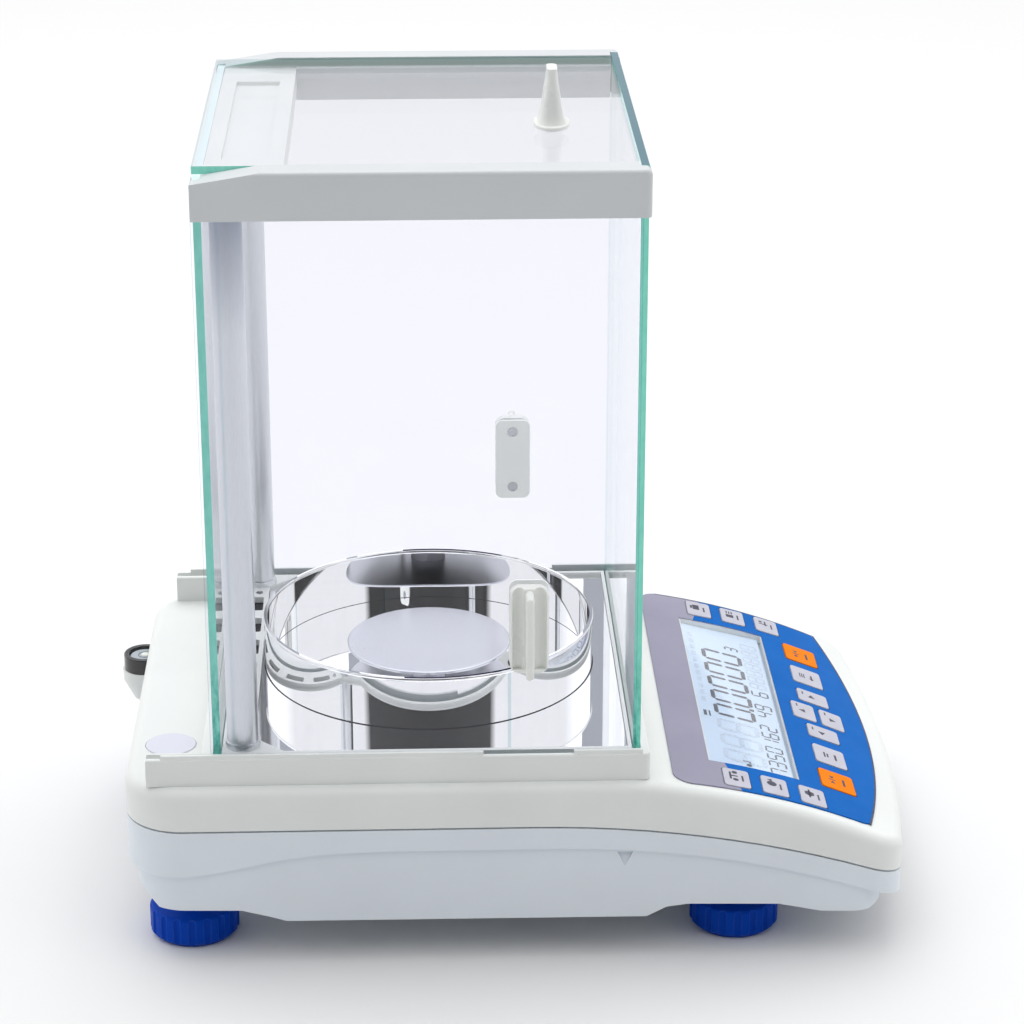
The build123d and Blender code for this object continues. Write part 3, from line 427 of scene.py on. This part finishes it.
def ink(name, colour, roughness=0.4):
    """Screen-printed ink: nearly flat, with a fine uneven edge of thickness."""
    material, tree = new_tree(name)
    place = position(tree)
    cover = map_range(tree, noise(tree, place, 900.0, 3.0), (0.3, 0.7), (0.0, 1.0))
    face = mix_colour(tree, cover, tint(colour, 0.85), tint(colour, 1.1))
    rough = map_range(tree, noise(tree, place, 300.0), (0.3, 0.7), (roughness - 0.08, roughness + 0.08))
    shader = add(tree, "ShaderNodeBsdfPrincipled", {
        "Base Color": face, "Roughness": rough, "Normal": bump(tree, cover, 0.05, 0.02 * MM)})
    finish_surface(tree, shader.outputs[0])
    return material


# ------------------------------------------------------------------ mesh helpers
def link_mesh(name, mesh):
    piece = bpy.data.objects.new(name, mesh)
    bpy.context.scene.collection.objects.link(piece)
    return piece


def plate_mesh(name, corners):
    mesh = bpy.data.meshes.new(name)
    mesh.from_pydata([tuple(c) for c in corners], [], [tuple(range(len(corners)))])
    return link_mesh(name, mesh)


def slope_frame(x, y, height):
    """Point on the keypad's slope with the axis up the slope and the normal there."""
    lean = (y - PANEL_CENTRE_Y) / PANEL_RADIUS
    normal = Vector((0.0, lean, math.sqrt(1 - lean * lean)))
    z = PANEL_CENTRE_Z + PANEL_RADIUS * normal.z
    return Vector((x, y, z)) + normal * height, Vector((0.0, normal.z, -lean)), normal


def printed_shapes(name, shapes, frame_at):
    """Thin solid prints: each shape is a convex outline in a flat frame (origin, up axis, normal)."""
    origin, up, normal = frame_at
    across = Vector((1.0, 0.0, 0.0))
    mesh = bmesh.new()
    for shape in shapes:
        foot = [origin + across * u + up * v for u, v in shape]
        low = [mesh.verts.new(p) for p in foot]
        high = [mesh.verts.new(p + normal * PRINT_THICK) for p in foot]
        mesh.faces.new(high)
        mesh.faces.new(low[::-1])
        for i in range(len(low)):
            j = (i + 1) % len(low)
            mesh.faces.new((low[i], low[j], high[j], high[i]))
    bmesh.ops.recalc_face_normals(mesh, faces=mesh.faces)
    data = bpy.data.meshes.new(name)
    mesh.to_mesh(data)
    mesh.free()
    return link_mesh(name, data)


def moved(shape, u, v, scale=1.0):
    return [(u + scale * a, v + scale * b) for a, b in shape]


def bar(width, height):
    half_u = width / 2
    half_v = height / 2
    return [(-half_u, -half_v), (half_u, -half_v), (half_u, half_v), (-half_u, half_v)]


def disc(radius, sides=20, stretch=1.0):
    turns = [2 * math.pi * i / sides for i in range(sides)]
    return [(radius * stretch * math.cos(t), radius * math.sin(t)) for t in turns]


def turned(shape, quarter_turns):
    for _ in range(quarter_turns):
        shape = [(-v, u) for u, v in shape]
    return shape


# ------------------------------------------------------------------ display
LIT_SEGMENTS = {
    "0": "abcdef", "1": "bc", "2": "abged", "3": "abgcd", "4": "fgbc",
    "5": "afgcd", "6": "afgedc", "7": "abc", "8": "abcdefg", "9": "gfabcd",
}
SLANT = 0.10


def digit_segments(names, width, height, thick):
    """Outlines of the chosen segments of a seven-segment digit, standing on v = 0."""
    gap = thick * 0.18
    half = height / 2
    level = {"a": height, "g": half, "d": 0.0}
    upright = {"f": (0.0, half, height), "b": (width, half, height),
               "e": (0.0, 0.0, half), "c": (width, 0.0, half)}
    shapes = []
    for name in names:
        t = thick / 2
        if name in level:
            v = level[name]
            outline = [(gap, v), (gap + t, v - t), (width - gap - t, v - t), (width - gap, v),
                       (width - gap - t, v + t), (gap + t, v + t)]
        else:
            u, low, high = upright[name]
            outline = [(u, low + gap), (u + t, low + gap + t), (u + t, high - gap - t), (u, high - gap),
                       (u - t, high - gap - t), (u - t, low + gap + t)]
        shapes.append([(a + SLANT * b, b) for a, b in outline])
    return shapes


def number_row(text, start, base, width, height, thick, pitch):
    """Seven-segment digits in a row; a dot takes no cell of its own, a space takes one."""
    shapes = []
    u = start
    for mark in text:
        if mark == ".":
            dot = bar(thick * 1.1, thick * 1.1)
            shapes.append(moved(dot, u - (pitch - width) / 2, base))
            continue
        for outline in digit_segments(LIT_SEGMENTS.get(mark, ""), width, height, thick):
            shapes.append(moved(outline, u, base))
        u += pitch
    return shapes


def make_display(inks):
    low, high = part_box("display_window")
    middle = (low.y + high.y) / 2
    depth = 2.15 * MM
    face = slope_frame(0.0, middle, -depth)
    main = dict(base=-6.6 * MM, width=9.4 * MM, height=16.4 * MM, thick=1.9 * MM, pitch=14.4 * MM)
    lit = number_row("0.0000", -20.5 * MM, **main)
    unit = [moved(s, 52.0 * MM, -6.6 * MM) for s in digit_segments("bcdga", 3.2 * MM, 5.6 * MM, 0.8 * MM)]
    small = dict(base=-15.9 * MM, width=4.5 * MM, height=7.0 * MM, thick=0.8 * MM, pitch=6.9 * MM)
    line = number_row("7350162 49 6", -68.0 * MM, **small)
    marks = [moved(bar(5.2 * MM, 1.4 * MM), -21 * MM, 15.2 * MM),
             moved(bar(5.2 * MM, 0.7 * MM), -21 * MM, 13.2 * MM),
             moved(disc(1.2 * MM), -65 * MM, 0.6 * MM),
             moved(bar(0.8 * MM, 2.6 * MM), -61.8 * MM, 1.6 * MM),
             moved(bar(2.4 * MM, 0.8 * MM), -62.6 * MM, 0.0)]
    digits = printed_shapes("lcd_segments", lit + unit + line + marks, face)
    ghost_main = number_row("888", -64.0 * MM, **main)
    ghost_line = number_row("8888888", 16.0 * MM, **small)
    ghost_scale = [moved(bar(4.4 * MM, 2.0 * MM), (i - 7) * 6.8 * MM, 14.6 * MM) for i in range(6, 17)]
    ghosts = printed_shapes("lcd_unlit_segments", ghost_main + ghost_line + ghost_scale, face)
    for piece, tone in ((digits, inks["lcd_dark"]), (ghosts, inks["lcd_pale"])):
        piece.data.materials.append(tone)
        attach(piece, "base")


# ------------------------------------------------------------------ keys
ARROW = [(0.0, 1.0), (-0.95, -0.75), (0.95, -0.75)]


def key_icons():
    """Generic pictograms and caption bars, in millimetres from the key's middle."""
    two_bars = [moved(bar(4.6, 0.8), 0, 2.4), moved(bar(3.4, 0.8), 0, 1.0)]
    captions = [moved(bar(5.0, 0.8), 0, -2.6)]
    tare = [moved(turned(ARROW, 3), -2.2, 2.2, 1.2), moved(bar(0.7, 3.2), 0, 2.2),
            moved(turned(ARROW, 1), 2.2, 2.2, 1.2), moved(bar(5.8, 1.1), 0, -3.0)]
    return {
        "key_arrow_up": [moved(ARROW, 0, 0.6, 1.7), moved(bar(2.6, 0.7), 4.6, 2.6)],
        "key_arrow_down": [moved(turned(ARROW, 2), 0, -0.4, 1.7), moved(bar(2.6, 0.7), 4.6, 2.6)],
        "key_arrow_left": [moved(turned(ARROW, 1), -0.4, 0.6, 1.7), moved(bar(2.6, 0.7), 2.0, 4.6)],
        "key_arrow_right": [moved(turned(ARROW, 3), 0.4, 0.6, 1.7), moved(bar(2.6, 0.7), 2.0, 4.6)],
        "key_wide_left": [*two_bars, moved(bar(5.4, 1.0), 0, -2.6)],
        "key_wide_right": [*[moved(bar(4.2, 0.5), 0, v) for v in (3.2, 2.2, 1.2)],
                           moved(turned(ARROW, 1), -1.6, -2.4, 1.2), moved(bar(3.6, 0.8), 0.8, -2.4)],
        "key_tare_left": tare,
        "key_tare_right": tare,
        "key_left_rear": [moved(bar(6.4, 0.9), 1.4, 2.4), moved(bar(0.9, 3.0), 1.4, 0.8),
                          moved(disc(1.2, 12), -1.8, 0.4), moved(disc(1.2, 12), 4.6, 0.4), *captions],
        "key_left_middle": [moved(disc(2.1, 20), 1.6, 1.0), moved(ARROW, 4.6, 1.6, 1.2), *captions],
        "key_left_front": [moved(disc(2.3, 6), 1.6, 1.2), moved(bar(7.0, 0.8), 1.6, 1.2), *captions],
        "key_right_rear": [moved(bar(5.2, 3.0), 1.6, 1.0), moved(bar(3.2, 1.0), 1.6, 3.2), *captions],
        "key_right_middle": [moved(bar(3.0, 3.6), 0.0, 1.2), moved(bar(2.6, 0.6), 3.8, 2.4),
                             moved(bar(2.6, 0.6), 3.8, 1.2), moved(bar(2.6, 0.6), 3.8, 0.0), *captions],
        "key_right_front": [moved(bar(0.8, 4.2), 1.0, 1.2), moved(bar(5.0, 0.7), 2.0, 0.2),
                            moved(disc(0.9, 12), 3.2, 2.4), *captions],
    }


def make_key_prints(inks):
    for key, icon in key_icons().items():
        low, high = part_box(key)
        middle = ((low.x + high.x) / 2, (low.y + high.y) / 2 + 0.2 * MM)
        shapes = [[(u * MM, v * MM) for u, v in shape] for shape in icon]
        piece = printed_shapes(f"print_{key}", shapes, slope_frame(*middle, KEY_TOP))
        piece.data.materials.append(inks["legend"])
        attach(piece, f"{key}_body")


# ------------------------------------------------------------------ level
def make_level(inks):
    low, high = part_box("level_vial")
    centre = (low + high) / 2
    top = high.z
    mesh = bmesh.new()
    bmesh.ops.create_uvsphere(mesh, u_segments=32, v_segments=16, radius=2.1 * MM)
    for vertex in mesh.verts:
        squash = 0.30 if vertex.co.z > 0 else 0.12
        vertex.co = Vector((centre.x + 0.3 * MM, centre.y - 0.2 * MM, top)) + Vector(
            (vertex.co.x, vertex.co.y, vertex.co.z * squash))
    for face in mesh.faces:
        face.smooth = True
    data = bpy.data.meshes.new("level_bubble")
    mesh.to_mesh(data)
    mesh.free()
    bubble = link_mesh("level_bubble", data)
    bubble.data.materials.append(inks["bubble"])
    ring = ring_mesh("level_target", (centre.x, centre.y, top), 3.0 * MM, 0.35 * MM, 0.12 * MM)
    ring.data.materials.append(inks["legend"])
    for piece in (bubble, ring):
        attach(piece, "base")


def ring_mesh(name, centre, radius, width, height, sides=64):
    """Low rounded ring lying flat."""
    mesh = bmesh.new()
    section = [(-width / 2, 0.0), (-width / 4, height), (width / 4, height), (width / 2, 0.0)]
    loops = []
    for i in range(sides):
        turn = 2 * math.pi * i / sides
        out = Vector((math.cos(turn), math.sin(turn), 0.0))
        points = [Vector(centre) + out * (radius + a) + Vector((0, 0, b)) for a, b in section]
        loops.append([mesh.verts.new(point) for point in points])
    for i in range(sides):
        this, following = loops[i], loops[(i + 1) % sides]
        for j in range(len(section) - 1):
            mesh.faces.new((this[j], following[j], following[j + 1], this[j + 1]))
        mesh.faces.new((this[-1], following[-1], following[0], this[0]))
    bmesh.ops.recalc_face_normals(mesh, faces=mesh.faces)
    data = bpy.data.meshes.new(name)
    mesh.to_mesh(data)
    mesh.free()
    return link_mesh(name, data)


# ------------------------------------------------------------------ seal, and painted shade in the vent slots
def make_seal_and_slot_shade(inks):
    """Thin rubber seal round the foot of the ring, and a dark slab under the slotted strip: painted shade in
    its slots.
    """
    low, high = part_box("wind_ring")
    centre = (low + high) / 2
    radius = (high.x - low.x) / 2 - 0.8 * MM
    seal = ring_mesh("ring_seal", (centre.x, centre.y, low.z), radius, 1.8 * MM, 0.4 * MM, 128)
    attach(seal, "ring_body")
    # dark slab under the slotted strip: painted shade seen through the slots
    low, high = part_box("vent_strip")
    margin = 6.0 * MM
    reach = (high.y - low.y) * 0.32
    middle = (low.y + high.y) / 2
    shade_slab = shade_slab_mesh("vent_shade_slab", (low.x + margin, high.x - margin), (middle - reach, middle + reach), low.z)
    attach(shade_slab, "base")
    # one dark finish for the rubber seal and for the painted shade slab
    for piece in (seal, shade_slab):
        piece.data.materials.append(inks["rubber"])


def shade_slab_mesh(name, x_span, y_span, top, thick=1.5 * MM, cells=48, lanes=4):
    """Slab with a softly uneven upper side."""
    mesh = bmesh.new()
    rows = []
    for i in range(cells + 1):
        x = x_span[0] + (x_span[1] - x_span[0]) * i / cells
        row = []
        for j in range(lanes + 1):
            y = y_span[0] + (y_span[1] - y_span[0]) * j / lanes
            dip = 0.15 * MM * (1 + math.sin(i * 2.4 + j * 1.7))
            row.append(mesh.verts.new((x, y, top - dip)))
        rows.append(row)
    for first, second in zip(rows, rows[1:]):
        for j in range(lanes):
            mesh.faces.new((first[j], second[j], second[j + 1], first[j + 1]))
    skin = bmesh.ops.extrude_face_region(mesh, geom=list(mesh.faces))
    sunk = [item for item in skin["geom"] if isinstance(item, bmesh.types.BMVert)]
    for vertex in sunk:
        vertex.co.z = top - thick
    bmesh.ops.recalc_face_normals(mesh, faces=mesh.faces)
    data = bpy.data.meshes.new(name)
    mesh.to_mesh(data)
    mesh.free()
    return link_mesh(name, data)


# ------------------------------------------------------------------ film edge
def make_film_edge(inks):
    """Narrow dark line round the edge of the keypad film: painted shade along the film's edge."""
    half_front, corner_y = 94.5 * MM, -146.0 * MM
    half_rear, rear_y = 97.0 * MM, -66.0 * MM
    nose_y = -157.5 * MM
    sag = corner_y - nose_y
    bow_radius = (half_front ** 2 + sag ** 2) / (2 * sag)
    line_width = 0.7 * MM
    bow_ends_y = -120.0 * MM
    outline = []
    steps = 40
    for i in range(steps + 1):
        x = half_front * (2 * i / steps - 1)
        outline.append((x, nose_y + bow_radius - math.sqrt(bow_radius ** 2 - x ** 2)))
    side_steps = 12
    for i in range(1, side_steps):
        part = i / side_steps
        outline.append((half_front + (half_rear - half_front) * part, corner_y + (rear_y - corner_y) * part))
    narrower = 1 - line_width / half_rear
    inner = [(x * narrower, y + (line_width if y < bow_ends_y else 0.0)) for x, y in outline]
    mesh = bmesh.new()
    rise = FILM_THICK + PRINT_THICK
    sunk = FILM_THICK - 0.1 * MM
    rows = [[mesh.verts.new(slope_frame(x, y, level)[0]) for x, y in path]
            for path, level in ((outline, rise), (inner, rise), (inner, sunk), (outline, sunk))]
    for first, second in zip(rows, rows[1:] + rows[:1]):
        for i in range(len(outline) - 1):
            mesh.faces.new((first[i], first[i + 1], second[i + 1], second[i]))
    mesh.faces.new([row[0] for row in rows])
    mesh.faces.new([row[-1] for row in rows])
    bmesh.ops.recalc_face_normals(mesh, faces=mesh.faces)
    data = bpy.data.meshes.new("film_edge_line")
    mesh.to_mesh(data)
    mesh.free()
    # the dark line stands for shade along the film's edge: painted shade
    piece = link_mesh("film_edge_line", data)
    piece.data.materials.append(inks["film_edge_shade"])
    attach(piece, "base")


# ------------------------------------------------------------------ finishes of the CAD nodes
def dress(material, *names):
    for name in names:
        slots = NODES[name].data.materials
        for i in range(len(slots)):
            slots[i] = material
        if not len(slots):
            slots.append(material)


def pair(name):
    return [f"left_{name}", f"right_{name}"]


def dress_nodes():
    cream = plastic("cream_plastic", (0.755, 0.78, 0.765), 0.42)
    grey = plastic("grey_plastic", (0.72, 0.775, 0.83), 0.46)
    # the rails are the same cream plastic, painted darker: painted shade
    rail = plastic("rail_plastic", (0.585, 0.61, 0.63), 0.42)
    handle = plastic("handle_plastic", (0.80, 0.815, 0.785), 0.30, relief=0.05)
    blue = plastic("blue_plastic", (0.0005, 0.055, 0.45), 0.38, mottle=0.08, wear=0.12, specular=0.06)
    black = plastic("black_plastic", (0.012, 0.012, 0.014), 0.22, mottle=0.1, wear=0.15, coat=0.5)
    board = plastic("circuit_board", (0.01, 0.12, 0.05), 0.35, mottle=0.15, coat=0.3)
    dress(cream, "upper_shell", "chamber_plinth", "level_bracket", "vent_strip", "rear_head")
    dress(grey, "lower_shell", "rear_connector_plate")
    dress(rail, *pair("top_rail"))
    dress(plastic("cap_plastic", (0.68, 0.69, 0.78), 0.35, relief=0.05), "cover_cap")
    dress(handle, "top_door_knob", *pair("door_handle"))
    # the handle plates glow though they are no lamp: painted light
    clip = plastic("pale_clip_plastic_painted_glow", (0.80, 0.815, 0.785), 0.34, relief=0.05, glow=0.22)
    dress(clip, *pair("handle_plate"))
    dress(blue, *[f"foot_{end}_{side}" for end in ("front", "rear") for side in ("left", "right")])
    dress(black, "power_socket", "level_cap_ring")
    dress(board, "main_board", "display_board")
    dress(metal("cast_metal", (0.48, 0.49, 0.51), 0.5, scale=400.0, relief=0.3), "chassis_plate")
    dress(metal("machined_metal", (0.74, 0.75, 0.77), 0.28, (1.0, 12.0, 1.0)), "load_cell", "pan_carrier")
    dress(metal("magnet_metal", (0.42, 0.43, 0.46), 0.25), "magnet_unit")
    dress(metal("screw_steel", (0.60, 0.61, 0.63), 0.24, (8.0, 1.0, 1.0)),
          "shell_screws", "vent_strip_screws", *pair("handle_screws"))
    dress(metal("port_metal", (0.60, 0.61, 0.62), 0.28, (1.0, 1.0, 8.0)), "data_ports")
    dress(metal("pan_steel", (0.83, 0.84, 0.90), 0.30, (1.0, 26.0, 1.0), 260.0, relief=0.10), "pan")
    # the posts are painted darker just under the head: painted shade and painted reflection
    under_head_shade = (0.262, 0.306)
    dress(metal("post_metal", (0.72, 0.74, 0.76), 0.33, (14.0, 14.0, 1.0), 200.0, relief=0.06, head_shade_span=under_head_shade),
          *pair("post"))
    dress(mirror_steel(), "floor_plate", "wind_ring")
    dress(shield_glass("side_glass", "X"), *pair("door_glass"))
    dress(shield_glass("end_glass", "Y"), "front_glass")
    # the rear pane's top edge is painted pale: painted light
    dress(shield_glass("rear_glass", "Y", (0.62, 0.76, 0.78)), "rear_glass")
    dress(shield_glass("top_glass", "Z"), "top_door_glass")
    dress(window_glass(), "display_window")
    dress(vial_glass(), "level_vial")
    dress(overlay_film(), "keypad_overlay")
    dress(display_face(), "lcd_module")
    grey_key = key_film("grey_key", (0.52, 0.52, 0.59))
    orange_key = key_film("orange_key", (0.86, 0.215, 0.003))
    for name in NODES:
        if name.startswith("key_"):
            dress(orange_key if "tare" in name else grey_key, name)


def make_inks():
    return {
        "lcd_dark": ink("lcd_ink", (0.010, 0.010, 0.035), 0.3),
        "lcd_pale": ink("lcd_unlit", (0.56, 0.66, 0.80), 0.3),
        "legend": ink("legend_ink", (0.02, 0.02, 0.05)),
        "film_edge_shade": ink("film_edge_painted_shade", (0.006, 0.015, 0.075)),
        "bubble": ink("level_bubble", (0.86, 0.90, 0.84), 0.12),
        # dark rubber of the ring seal, and painted shade under the vent slots
        "rubber": ink("dark_rubber_and_painted_shade", (0.018, 0.018, 0.024), 0.6),
    }


bpy.context.scene.view_settings.view_transform = "Standard"
make_camera()
make_world()
make_stage()
soft_light("overhead_softbox", SOFTBOX_PLACE, SOFTBOX_TARGET, SOFTBOX_SIZE, SOFTBOX_WATTS)
dress_nodes()
inks = make_inks()
make_display(inks)
make_key_prints(inks)
make_level(inks)
make_film_edge(inks)
make_seal_and_slot_shade(inks)
